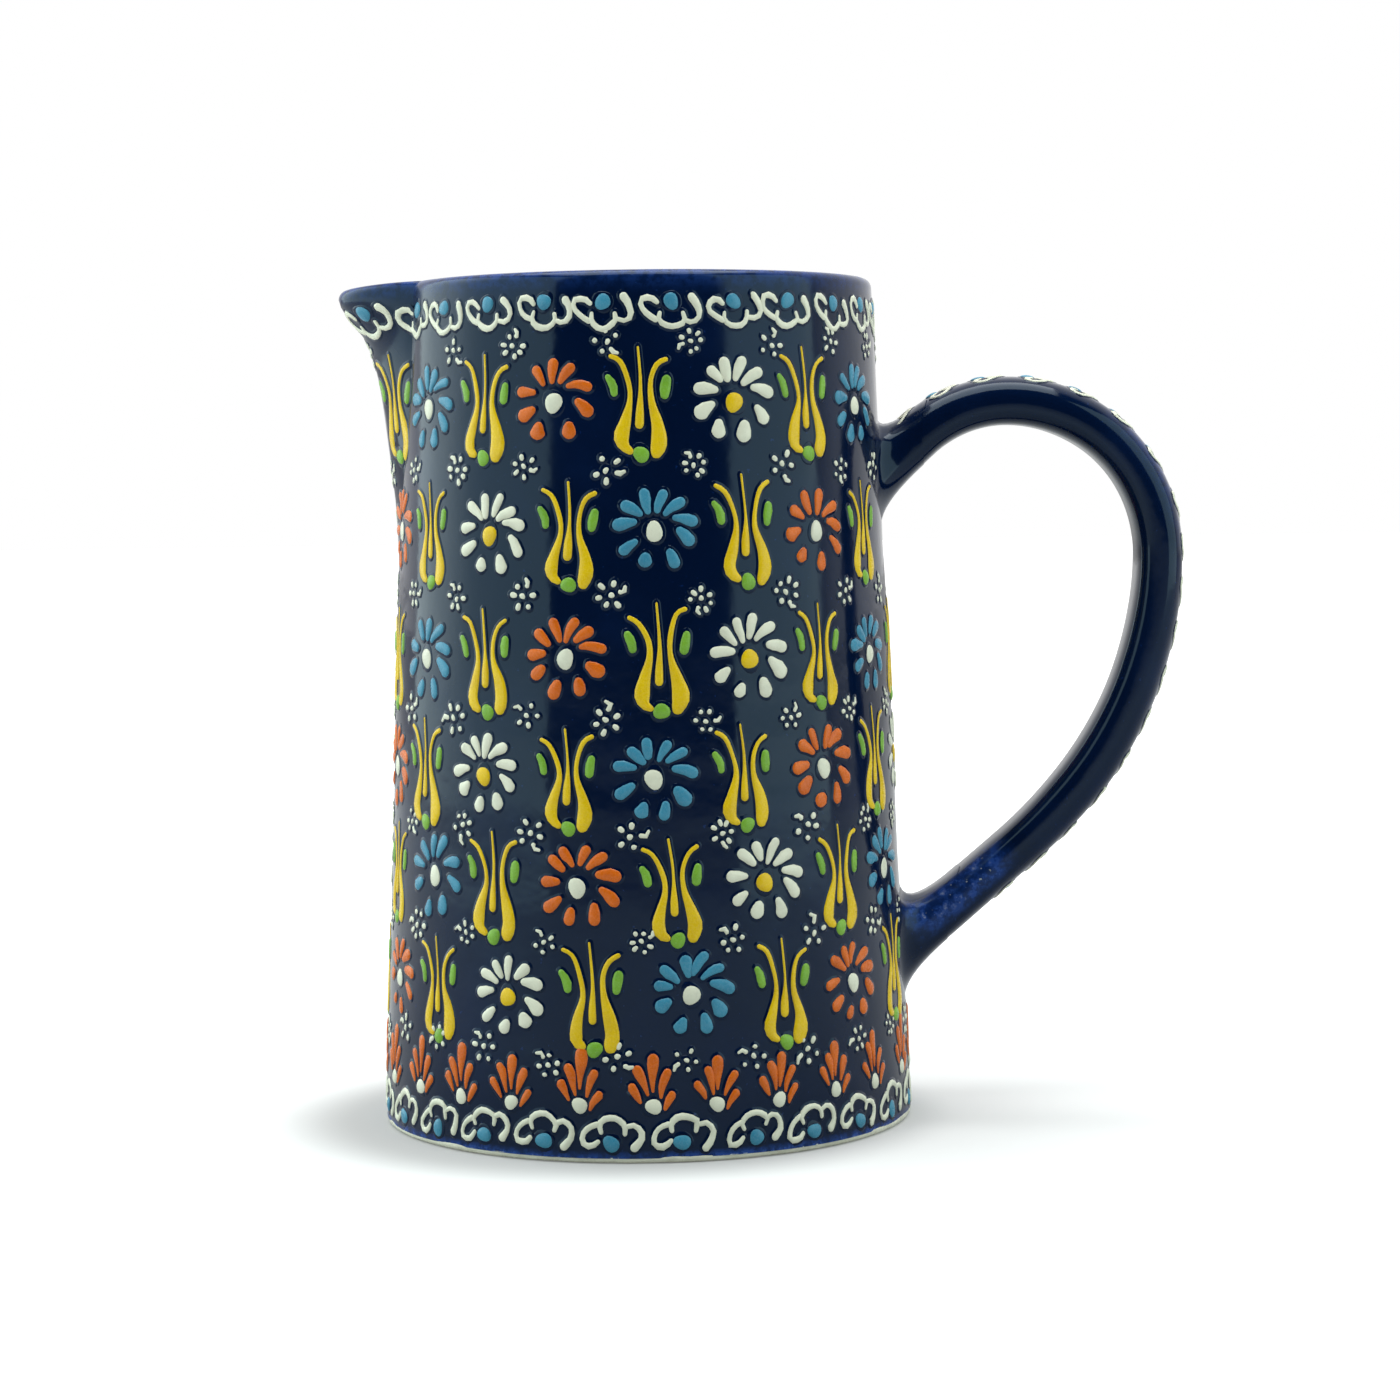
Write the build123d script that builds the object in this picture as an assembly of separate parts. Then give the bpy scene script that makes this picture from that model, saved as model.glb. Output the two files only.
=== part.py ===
from build123d import *
import math
import os

# Hand-built earthenware pitcher with slip-trailed relief: its clay pieces and the fired-on decoration.
# The frame is +Z up, in millimetres, with the origin at the centre of the foot, on the surface it stands on.
# The handle points along +X and the spout along -X. Angles around the body are in degrees from +X towards +Y.

# Driving dimensions of the body
height = 190.0  # foot to rim
base_radius = 60.4  # outside of the wall, carried down to z = 0
rim_radius = 52.8  # outside of the wall, carried up to z = height
wall_thickness = 4.6
foot_height = 1.5  # the bare clay ring that stands on the table
foot_setback = 0.7  # how far the foot steps in from the wall
foot_width = 9.0
foot_ease = 0.5  # chamfer under the foot
floor_thickness = 6.0

# Driving dimensions of the spout
spout_start = 124.0  # height where the keel leaves the wall
spout_reach = 15.4  # how far the tip stands out from the wall
spout_half_angle = 19.5  # from the keel to each seam, at the rim
spout_wall = 4.2
lip_droop_radius = 37.0  # the lip falls away to the tip on this radius
slow_flare = 0.55  # share of the reach gained evenly up the keel; the rest comes under the lip
lip_flare_start = 170.0
lip_flare_height = 18.0
lip_flare_power = 1.2
seam_run_out = 4.0  # the seams close this far below the keel's start
seam_powers = (2.5, 0.67)  # shape of the curve the two seams draw on the wall
tip_roundness = 0.3  # of the spout's plan, as a share of its half width
past_seam = 1.35  # the spout's plan runs on into the wall this many half widths
plan_steps = 6
back_inset = 14.0  # the plan is closed this far behind its ends
channel_seam_inset = 3.4  # degrees from the outer seam to the hollow
spout_levels = (spout_start, 132, 142, 153, 163, 171, 177, 182, 187, height)
channel_levels = (126, 134, 143, 153, 163, 171, 177, 182, 187, height + 4)

# Driving dimensions of the handle
handle_width = 17.0
handle_thickness = 10.7
handle_corner = 4.4
handle_root = (50.0, 142.6)  # (x, z) of the upper end, inside the wall
handle_root_heading = 42.6  # the handle climbs out of the wall at this angle
handle_root_run = 17.65
crown_radius = 30.3  # the rise to the top of the handle
shoulder_radius = 34.8  # the turn from the top down to the back of the hand
shoulder_turn = -90.0
back_radius = 84.0
back_turn = -40.0
tail_radius = 123.0
tail_heading = -139.5  # the handle runs back to the wall at this angle
tail_run = 46.0

lute_spread = 4.2  # how far the slip fillet spreads over the wall around a handle root
lute_waist = 0.4  # share of the spread left a third of the way along the fillet
lute_toe = 0.2  # the fillet ends this proud of the handle
upper_lute = (6.0, 14.0)  # start and toe, along the handle from its upper end
lower_lute = (16.0, 32.0)  # start and toe, back along the handle from its lower end

# Driving dimensions of the decoration
relief_height = 0.5  # the slip stands this proud of the glaze
relief_root = 0.3  # and is keyed this far into it
front = -90.0  # the face of the pitcher that the rows are counted from
flowers_per_row = 9  # and as many tulips between them
row_heights = (162.0, 134.6, 107.2, 82.4, 58.9, 35.5)
row_turns = (-59.0, 3.0, -57.0, 3.0, -54.0, 9.0)  # angle of each row's first blue flower from the front
flower_colours = ("blue", "orange", "white")  # in turn around every row
petals_per_flower = 9
petal_length = 4.9
petal_stretch = 0.8  # the upper petals are longer by this much
petal_head = 1.3
petal_start = 3.2  # from the middle of the flower
flower_eye = 1.9  # radius of the dot in the middle of a flower
tulip_dot = 1.8
tulip_dot_drop = 10.8
fan_petals = ((0, 3.2, 9.2), (24, 3.4, 7.2), (-24, 3.4, 7.2), (55, 3.6, 5.0), (-55, 3.6, 5.0))
fan_petal_head = 1.15
fan_dot = 1.9
fan_base_height = 12.3
fan_count = 25
rim_border_height = 182.0
rim_border_count = 24
foot_border_height = 6.2
foot_border_count = 25
border_line = 1.1  # width of the scalloped line
border_dot = 1.4
border_dot_inset = 1.6  # from the middle of the arch
handle_dot = 1.3
handle_border_step = 10.0  # along the handle's outer face
handle_border_start = 22.0
handle_border_end = 32.0  # short of the handle's lower end
spout_clearance = 24.0  # motifs stay this many degrees clear of the keel above the spout's start
spout_headroom = 8.0  # and this far below that start
handle_clearance = 15.0  # and this many degrees clear of the handle's roots
handle_root_zones = ((20.0, 64.0), (128.0, 172.0))


# The outer and inner surfaces of the clay
def wall_radius(z):
    """Outside radius of the tapered wall at height z."""
    return base_radius + (rim_radius - base_radius) * z / height


def cone(offset, bottom, top):
    """The solid inside the wall's outer surface moved out by offset, between two heights."""
    frustum = Cone(wall_radius(bottom) + offset, wall_radius(top) + offset, top - bottom)
    return Pos(0, 0, (bottom + top) / 2) * frustum


def smooth_step(t):
    """0 below 0, 1 above 1, and an even S between."""
    t = min(max(t, 0.0), 1.0)
    return t * t * (3 - 2 * t)


def keel_stand_out(z):
    """How far the keel stands out from the wall at height z: a slow flare, then a quick one under the lip."""
    slow = slow_flare * (z - spout_start) / (height - spout_start)
    quick = (1 - slow_flare) * smooth_step((z - lip_flare_start) / lip_flare_height) ** lip_flare_power
    return spout_reach * (slow + quick)


def seam_angle(z):
    """Half angle between the spout's two seams at height z, in degrees."""
    down = max((height - z) / (height - spout_start + seam_run_out), 0)
    return spout_half_angle * (1 - down ** seam_powers[0]) ** seam_powers[1]


def flank(t):
    """The spout's plan from keel (t = 0, gives 1) to seam (t = 1, gives 0), and on into the wall."""
    span = math.hypot(1, tip_roundness) - tip_roundness
    return (math.hypot(1, tip_roundness) - math.hypot(t, tip_roundness)) / span


def beak_section(z, inner_edge, depth, half_angle):
    """Closed plan of the spout at height z, from an edge radius, a reach past it and a half angle."""
    points = []
    for i in range(-plan_steps, plan_steps + 1):
        t = past_seam * i / plan_steps
        angle = math.radians(180 + t * half_angle)
        radius = inner_edge + depth * flank(abs(t))
        points.append((radius * math.cos(angle), radius * math.sin(angle), z))
    first, last = points[0], points[-1]
    back_x = first[0] + back_inset
    outline = Spline(*points)
    back = Polyline(last, (back_x, last[1], z), (back_x, first[1], z), first)
    return Face(Wire([*outline.edges(), *back.edges()]))


# Clay pieces
def largest(shape):
    """The biggest solid of a shape."""
    return max(shape.solids(), key=lambda solid: solid.volume)


def make_channel():
    """The hollow of the spout, cut from both the spout and the wall."""
    sections = []
    for z in channel_levels:
        inner_edge = wall_radius(z) - wall_thickness
        depth = keel_stand_out(z) + wall_thickness - spout_wall
        sections.append(beak_section(z, inner_edge, depth, seam_angle(z) - channel_seam_inset))
    return loft(sections)


def make_wall(channel):
    """Tapered cylinder with a rounded rim, cut open where the spout pours."""
    lip = wall_thickness / 2
    lip_z = height - lip
    outside, inside = wall_radius(lip_z), wall_radius(lip_z) - wall_thickness
    foot_outside, foot_inside = wall_radius(foot_height), wall_radius(foot_height) - wall_thickness
    foot_edge = ((foot_inside, foot_height), (foot_outside, foot_height))
    sides = Polyline((inside, lip_z), *foot_edge, (outside, lip_z))
    rim = ThreePointArc((outside, lip_z), (outside - lip, height), (inside, lip_z))
    return revolve(Plane.XZ * make_face(sides + rim), Axis.Z) - channel


def make_foot_ring():
    """Bare ring under the wall, its lower edges eased."""
    outer = wall_radius(0) - foot_setback
    ring = Cylinder(outer, foot_height) - Cylinder(outer - foot_width, foot_height)
    low_edges = ring.edges().filter_by(GeomType.CIRCLE).group_by(Axis.Z)[0]
    return Pos(0, 0, foot_height / 2) * chamfer(low_edges, foot_ease)


def make_spout(channel):
    """V-shaped beak luted to the outside of the wall."""
    sections = [beak_section(z, wall_radius(z), keel_stand_out(z), seam_angle(z)) for z in spout_levels]
    room = 80.0  # wider than the spout
    lip_x = -(rim_radius + 0.5)
    droop = Pos(lip_x, 0, height - lip_droop_radius) * Rot(90, 0, 0) * Cylinder(lip_droop_radius, room)
    below_droop = Pos(lip_x, 0, height - 1.5 * lip_droop_radius) * Box(room, room, lip_droop_radius)
    behind_tip = Pos(lip_x + room / 2, 0, height - room / 2) * Box(room, room, room)
    kept = loft(sections) & (droop + below_droop + behind_tip)
    return largest(kept - cone(0, 0, height + 10) - channel)


def handle_path():
    """Centre line of the handle in the XZ plane: a straight, four tangent arcs and a straight."""
    root = PolarLine(handle_root, handle_root_run, handle_root_heading)
    crown = JernArc(root @ 1, root % 1, crown_radius, -handle_root_heading)
    shoulder = JernArc(crown @ 1, crown % 1, shoulder_radius, shoulder_turn)
    back = JernArc(shoulder @ 1, shoulder % 1, back_radius, back_turn)
    tail = JernArc(back @ 1, back % 1, tail_radius, tail_heading - shoulder_turn - back_turn)
    run = Line(tail @ 1, tail @ 1 + (tail % 1) * tail_run)
    return Plane.XZ * (root + crown + shoulder + back + tail + run)


def across_handle(along):
    """Plane square to the handle, a distance along it: x is out from the hand, y is across the strap."""
    u = along / path.length
    heading = path % u
    return Plane(path @ u, x_dir=(-heading.Z, 0, heading.X), z_dir=heading)


def strap_section(spread=0.0):
    """Section across the handle, grown by spread."""
    size = (handle_thickness + 2 * spread, handle_width + 2 * spread)
    return RectangleRounded(*size, handle_corner + spread)


def make_strap():
    """Pulled strap, both ends trimmed to the wall."""
    return largest(sweep(across_handle(0) * strap_section(), path=path) - cone(0, 0, height))


def make_lute(root, toe):
    """Slip fillet around one end of the handle, from a distance along it inside the wall to one outside."""
    wide = across_handle(root) * strap_section(lute_spread)
    waist = across_handle((root * 2 + toe) / 3) * strap_section(lute_spread * lute_waist)
    narrow = across_handle(toe) * strap_section(lute_toe)
    return largest(loft([wide, waist, narrow], ruled=True) - cone(0, 0, height) - strap)


# Raised slip
def on_wall(turn, z, x=0.0, y=0.0, roll=0.0):
    """Plane lying on the wall: x to the right, y up it, offset from (turn, z) and rolled in its own plane."""
    up = z + y
    radius = wall_radius(up) - relief_root
    angle = math.radians(front + turn) + x / wall_radius(up)
    lean = math.atan2(base_radius - rim_radius, height)
    outward = (math.cos(lean) * math.cos(angle), math.cos(lean) * math.sin(angle), math.sin(lean))
    origin = (radius * math.cos(angle), radius * math.sin(angle), up)
    return Plane(origin, x_dir=(-math.sin(angle), math.cos(angle), 0), z_dir=outward) * Rot(0, 0, roll)


def pad(outline, thickness=relief_root + relief_height):
    """A flat outline thickened into a pad of slip."""
    return extrude(outline, thickness).solid()


def petal(length, head, tail=0.45):
    """Teardrop lying along +Y from the origin, round at both ends and wider at the far one."""
    lean = math.asin((head - tail) / (length - head - tail))
    far_x, far_y = head * math.cos(lean), length - head + head * math.sin(lean)
    near_x, near_y = tail * math.cos(lean), tail + tail * math.sin(lean)
    edges = [
        ThreePointArc((far_x, far_y), (0, length), (-far_x, far_y)),
        Line((-far_x, far_y), (-near_x, near_y)),
        ThreePointArc((-near_x, near_y), (0, 0), (near_x, near_y)),
        Line((near_x, near_y), (far_x, far_y)),
    ]
    return make_face(edges)


def ribbon(*stations):
    """Brush stroke through (x, y, half width) stations."""
    left, right = [], []
    for i, (x, y, half) in enumerate(stations):
        before, after = stations[max(i - 1, 0)], stations[min(i + 1, len(stations) - 1)]
        dx, dy = after[0] - before[0], after[1] - before[1]
        reach = half / math.hypot(dx, dy)
        left.append((x - dy * reach, y + dx * reach))
        right.append((x + dy * reach, y - dx * reach))
    edges = [Spline(*left), Line(left[-1], right[-1]), Spline(*right), Line(right[0], left[0])]
    return make_face(edges)


def clear_of_clay(turn, z):
    """True where a motif lies on the plain wall, clear of the spout and the handle's roots."""
    around = (front + turn) % 360
    on_spout = z > spout_start - spout_headroom and abs(around - 180) < spout_clearance
    in_root_zone = any(low < z < high for low, high in handle_root_zones)
    return not on_spout and not (in_root_zone and min(around, 360 - around) < handle_clearance)


def scallop(roll_up):
    """Three-lobed arch, open at the bottom (or, rolled over, at the top)."""
    side = ((-5.4, -3.6), (-5.9, -0.6), (-3.6, 0.9))
    crown = ((-3.6, 0.9), (0, 3.9), (3.6, 0.9))
    mirrored = [(-x, y) for x, y in side]
    line = ThreePointArc(*side) + ThreePointArc(*crown) + ThreePointArc(*mirrored)
    return Rot(0, 0, 180 if roll_up else 0) * trace(line, border_line)


relief = {}


def lay(name, place, outline):
    """Add one pad of slip to a node, its outline drawn on the given plane."""
    relief.setdefault(name, []).append(pad(place * outline))


def lay_flower(turn, z, colour):
    """Ring of petals round an eye, the upper petals a little longer."""
    for i in range(petals_per_flower):
        bearing = 360 * i / petals_per_flower
        out = math.radians(90 + bearing)
        length = petal_length + petal_stretch * math.cos(math.radians(bearing))
        place = on_wall(turn, z, petal_start * math.cos(out), petal_start * math.sin(out), bearing)
        lay(f"{colour}_petals", place, petal(length, petal_head))
    eye_node = "yellow_eyes" if colour == "white" else "white_eyes"
    lay(eye_node, on_wall(turn, z), Circle(flower_eye))


def lay_tulip(turn, z):
    """Two S strokes and a middle one over a dot, with a leaf on each side."""
    side = ((-6.4, 9.7, 0.3), (-3.9, 8.0, 0.4), (-2.1, 3.6, 0.45), (-2.0, 0.6, 0.6))
    bulb = ((-3.4, -4.4, 1.2), (-3.8, -7.6, 1.4), (-2.7, -10.6, 0.7))
    stroke = ribbon(*side, *bulb)
    place = on_wall(turn, z)
    lay("tulip_strokes", place, stroke)
    lay("tulip_strokes", place, mirror(stroke, Plane.YZ))
    lay("tulip_strokes", place, ribbon((-0.5, 11.8, 0.2), (0, 5, 0.3), (-0.1, 0, 0.7), (-0.2, -5.8, 0.9)))
    leaf = ribbon((-7.2, 6.2, 0.3), (-5.7, 4.2, 0.6), (-5.4, 1.4, 0.7))
    lay("tulip_leaves", place, leaf)
    lay("tulip_leaves", place, mirror(leaf, Plane.YZ))
    lay("tulip_dots", on_wall(turn, z, 0, -tulip_dot_drop), Circle(tulip_dot))


def lay_fan(turn, z):
    """Five petals spreading up from a dot."""
    for bearing, start, length in fan_petals:
        out = math.radians(90 + bearing)
        place = on_wall(turn, z, start * math.cos(out), start * math.sin(out), bearing)
        lay("fans", place, petal(length, fan_petal_head))
    lay("fan_dots", on_wall(turn, z), Circle(fan_dot))


def lay_wall_relief():
    """Everything painted on the plain wall."""
    step = 180 / flowers_per_row
    for z, row_turn in zip(row_heights, row_turns):
        for i in range(flowers_per_row):
            turn = row_turn + 2 * step * i
            if clear_of_clay(turn, z):
                lay_flower(turn, z, flower_colours[i % 3])
            if clear_of_clay(turn + step, z):
                lay_tulip(turn + step, z)
    for i in range(fan_count):
        lay_fan(360 * i / fan_count, fan_base_height)
    for i in range(foot_border_count):
        turn = 360 * (i + 0.5) / foot_border_count
        lay("foot_scallops", on_wall(turn, foot_border_height), scallop(False))
        lay("foot_dots", on_wall(turn, foot_border_height, 0, -border_dot_inset), Circle(border_dot))
    for i in range(rim_border_count):
        turn = 360 * (i + 0.5) / rim_border_count
        if clear_of_clay(turn, rim_border_height):
            lay("rim_scallops", on_wall(turn, rim_border_height), scallop(True))
            place = on_wall(turn, rim_border_height, 0, border_dot_inset)
            lay("rim_dots", place, Circle(border_dot))


def lay_handle_relief():
    """The rim border carried down the middle of the handle's outer face."""
    on_face = handle_thickness / 2 - relief_root
    run = path.length - handle_border_end - handle_border_start
    count = int(run / handle_border_step)
    for i in range(count):
        section = across_handle(handle_border_start + handle_border_step * i)
        face = Plane(section.origin + section.x_dir * on_face, x_dir=section.y_dir, z_dir=section.x_dir)
        lay("handle_scallops", face * Rot(0, 0, 180), scallop(False))
        lay("handle_dots", face * Pos(0, border_dot_inset), Circle(handle_dot))


channel = make_channel()
path = handle_path()
strap = make_strap()
parts = {
    "wall": make_wall(channel),
    "floor_slab": cone(-wall_thickness, foot_height, foot_height + floor_thickness),
    "foot_ring": make_foot_ring(),
    "spout": make_spout(channel),
    "handle": strap,
    "handle_upper_lute": make_lute(*upper_lute),
    "handle_lower_lute": make_lute(*(path.length - along for along in lower_lute)),
}
lay_wall_relief()
lay_handle_relief()
for name, pads in relief.items():
    parts[name] = Compound(pads)

os.makedirs("parts", exist_ok=True)
for name, shape in parts.items():
    export_step(shape, f"parts/{name}.step")
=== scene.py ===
import math
import random
import bpy
from mathutils import Matrix, Vector, noise


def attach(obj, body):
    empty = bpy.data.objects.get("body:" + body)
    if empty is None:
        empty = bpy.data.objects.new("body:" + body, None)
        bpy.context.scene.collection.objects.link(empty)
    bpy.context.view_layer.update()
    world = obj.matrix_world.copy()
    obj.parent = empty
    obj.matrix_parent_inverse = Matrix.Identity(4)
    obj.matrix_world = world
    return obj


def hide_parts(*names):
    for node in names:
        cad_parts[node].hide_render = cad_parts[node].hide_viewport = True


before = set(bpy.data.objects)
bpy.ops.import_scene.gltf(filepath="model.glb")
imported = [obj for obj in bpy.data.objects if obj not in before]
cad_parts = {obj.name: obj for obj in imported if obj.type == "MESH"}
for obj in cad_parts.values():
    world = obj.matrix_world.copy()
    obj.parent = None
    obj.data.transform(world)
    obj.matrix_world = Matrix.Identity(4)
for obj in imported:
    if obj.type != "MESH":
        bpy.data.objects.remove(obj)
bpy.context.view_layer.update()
mm = 0.001  # shapes below are worked out in millimetres and stored in metres


def curveAt(table, x):
    # smooth curve through (x, value) rows, flat beyond both ends
    if x <= table[0][0]:
        return table[0][1]
    if x >= table[-1][0]:
        return table[-1][1]
    i = max(k for k in range(len(table)) if table[k][0] <= x)
    (x0, y0), (x1, y1) = table[i], table[i + 1]

    def slope(k):
        if k <= 0 or k >= len(table) - 1:
            a, b = max(k - 1, 0), min(k + 1, len(table) - 1)
            return (table[b][1] - table[a][1]) / (table[b][0] - table[a][0])
        before = (table[k][1] - table[k - 1][1]) / (table[k][0] - table[k - 1][0])
        after = (table[k + 1][1] - table[k][1]) / (table[k + 1][0] - table[k][0])
        return 0.0 if before * after <= 0 else 2 * before * after / (before + after)

    t, w = (x - x0) / (x1 - x0), x1 - x0
    a, b = slope(i) * w, slope(i + 1) * w
    return y0 + t * (a + t * (3 * (y1 - y0) - 2 * a - b + t * (2 * (y0 - y1) + a + b)))


def wrapAngle(a):
    return (a + math.pi) % (2 * math.pi) - math.pi


def ramp(t):
    t = min(max(t, 0.0), 1.0)
    return t * t * (3 - 2 * t)


# sizes in mm; angles around the clay start at +x, where the handle is, and the spout points along -x
body = {
    "height": 190.0,
    "baseRadius": 60.4,
    "rimRadius": 52.8,
    "wallThickness": 4.4,
    "floorTop": 7.5,
    "footGap": 0.3,        # bare clay shows under the glaze
    "glazeEdge": 0.9,      # the glaze ends this far above that
    "cove": 3.0,           # the inside curves into the floor from this far above it
    "lipRise": 0.4,
    "lipSteps": 12,
    "unevenness": 0.3,     # throwing marks
    "lipWear": 0.85,       # how far the glaze has thinned: 0 is deep and 1 is thin
    "underLipWear": 0.3,
    "footWear": 1.2,
    "columns": 220,
    "rows": 110,
}
spout = {
    "start": 124.0,
    "keel": [(124, 0.0), (134, 0.6), (141, 1.3), (147, 2.2), (155, 3.4), (162, 4.4), (168, 5.6), (172, 6.6),
             (175, 7.5), (177.5, 8.6), (180, 10.4), (183, 12.9), (185.5, 14.6), (187.5, 15.3)],
    "seam": [(124, 0.5), (127, 3.5), (134, 7.0), (141, 9.8), (155, 15.5), (166, 18.2), (190, 19.5)],
    "tipHeight": 187.5,
    "reach": 15.3,
    "tipRoundness": 0.3,
    "lipDrop": 1.1,
    "columns": 56,
}


def coneRadius(z):
    return body["baseRadius"] + (body["rimRadius"] - body["baseRadius"]) * z / body["height"]


def unevenness(angle, z):
    around = Vector((1.7 * math.cos(angle), 1.7 * math.sin(angle), z / 42))
    rings = Vector((0.4 * math.cos(angle), 0.4 * math.sin(angle), z / 9))
    return body["unevenness"] * (noise.noise(around) + 0.3 * noise.noise(rings))


def flank(t):
    c = spout["tipRoundness"]
    return (math.hypot(1, c) - math.hypot(t, c)) / (math.hypot(1, c) - c)


def outerRadius(angle, z):
    radius = coneRadius(z) + unevenness(angle, z)
    half = math.radians(curveAt(spout["seam"], z))
    off = abs(wrapAngle(angle - math.pi))
    if z > spout["start"] and off < half:
        radius += curveAt(spout["keel"], z) * flank(off / half)
    return radius


def onWall(angle, z, lift=0.0):
    r = outerRadius(angle, z) + lift
    return Vector((r * math.cos(angle), r * math.sin(angle), z))


def wallNormal(angle, z):
    around = onWall(angle + 0.012, z) - onWall(angle - 0.012, z)
    up = onWall(angle, z + 0.6) - onWall(angle, z - 0.6)
    return around.cross(up).normalized()


def makePiece(name, verts, faces, material, nodes):
    mesh = bpy.data.meshes.new(name)
    mesh.from_pydata([v * mm for v in verts], [], faces)
    mesh.materials.append(material)
    mesh.polygons.foreach_set("use_smooth", [True] * len(mesh.polygons))
    mesh.update()
    piece = bpy.data.objects.new(name, mesh)
    bpy.context.collection.objects.link(piece)
    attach(piece, "root")
    if nodes:
        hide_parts(*nodes)
    return piece


def setWear(piece, values):
    layer = piece.data.attributes.new("wear", "FLOAT", "POINT")
    layer.data.foreach_set("value", values)


def gridFaces(rowCount, columnCount, closed):
    faces = []
    last = columnCount if closed else columnCount - 1
    for i in range(rowCount - 1):
        for j in range(last):
            k = (j + 1) % columnCount
            a, b = i * columnCount, (i + 1) * columnCount
            faces.append((a + j, a + k, b + k, b + j))
    return faces


def lipTop(out):
    return body["height"] + body["lipRise"] - spout["lipDrop"] * (out / spout["reach"]) ** 2


def clayProfile(columnAngle, keelShare):
    # outside from foot to lip, over the lip and down the inside, as (angle, radius, z)
    points = []
    wall = body["wallThickness"]
    half = wall / 2
    lipZ = lipTop(curveAt(spout["keel"], spout["tipHeight"]) * keelShare) - half
    low = body["footGap"] + body["glazeEdge"]
    for i in range(body["rows"] + 1):
        z = low + (lipZ - low) * i / body["rows"]
        angle = columnAngle(z)
        radius = coneRadius(z) + unevenness(angle, z)
        if z > spout["start"]:
            radius += curveAt(spout["keel"], z) * keelShare
        points.append((angle, radius, z))
    centre = points[-1][1] - half
    for i in range(1, body["lipSteps"] + 1):
        turn = math.pi * i / body["lipSteps"]
        points.append((columnAngle(lipZ), centre + half * math.cos(turn), lipZ + half * math.sin(turn)))
    insideRows = body["rows"] // 2
    for i in range(1, insideRows + 1):
        z = lipZ + (body["floorTop"] + body["cove"] - lipZ) * i / insideRows
        angle = columnAngle(z)
        radius = coneRadius(z) - wall + 0.5 * unevenness(angle, z)
        if z > spout["start"]:
            radius += curveAt(spout["keel"], z) * keelShare
        points.append((angle, radius, z))
    return points


def claySheet(columns):
    # columns: a list of profiles that share their row count
    rowCount = len(columns[0])
    verts, wear = [], []
    for i in range(rowCount):
        for column in columns:
            angle, radius, z = column[i]
            verts.append(Vector((radius * math.cos(angle), radius * math.sin(angle), z)))
            past = i - body["rows"]  # rows gone over the lip
            lip = body["lipWear"] * max(0.0, 1 - abs(past - 5) / 6) if abs(past) < 12 else 0.0
            under = body["underLipWear"] * ramp((z - 185.5) / 3) if past <= 0 else 0.0
            foot = body["footWear"] * ramp((3.0 - z) / 1.8) if i < body["rows"] // 2 else 0.0
            wear.append(max(lip, under, foot))
    return verts, wear


def buildWall(material):
    columns = []
    n = body["columns"]
    for i in range(n + 1):
        v = i / n

        def columnAngle(z, v=v):
            half = math.radians(curveAt(spout["seam"], z)) if z > spout["start"] else 0.0
            return math.pi + half + (2 * math.pi - 2 * half) * v

        columns.append(clayProfile(columnAngle, 0.0))
    verts, wear = claySheet(columns)
    faces = gridFaces(len(columns[0]), n + 1, False)
    piece = makePiece("wall", verts, faces, material, ["wall"])
    setWear(piece, wear)
    return piece


def buildSpout(material):
    columns = []
    n = spout["columns"]
    for i in range(n + 1):
        u = -1 + 2 * i / n
        u = math.copysign(abs(u) ** 1.25, u)

        def columnAngle(z, u=u):
            half = math.radians(curveAt(spout["seam"], z)) if z > spout["start"] else 0.0
            return math.pi + half * u

        columns.append(clayProfile(columnAngle, flank(abs(u))))
    kept = [i for i, point in enumerate(columns[0]) if point[2] > spout["start"] + 1]
    firstRow, pastRow, width = min(kept), max(kept) + 1, n + 1
    verts, wear = claySheet(columns)
    part = slice(firstRow * width, pastRow * width)
    faces = gridFaces(pastRow - firstRow, width, False)
    piece = makePiece("spout", verts[part], faces, material, ["spout"])
    setWear(piece, wear[part])
    return piece


def buildFloor(material):
    rings = 14
    verts = [Vector((0, 0, body["floorTop"] + 0.6))]
    faces = []
    across = 96
    edge = coneRadius(body["floorTop"]) - body["wallThickness"] + 0.6
    for i in range(1, rings + 1):
        r = edge * i / rings
        rise = 3.2 * max(0.0, (r - edge + 9) / 9) ** 2.4
        for j in range(across):
            a = 2 * math.pi * j / across
            swirl = 0.25 * math.sin(0.55 * r + a)
            verts.append(Vector((r * math.cos(a), r * math.sin(a), body["floorTop"] + rise + swirl)))
    for j in range(across):
        faces.append((0, 1 + j, 1 + (j + 1) % across))
    for i in range(rings - 1):
        for j in range(across):
            a, b = 1 + i * across, 1 + (i + 1) * across
            faces.append((a + j, b + j, b + (j + 1) % across, a + (j + 1) % across))
    return makePiece("floor", verts, faces, material, ["floor_slab"])


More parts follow.
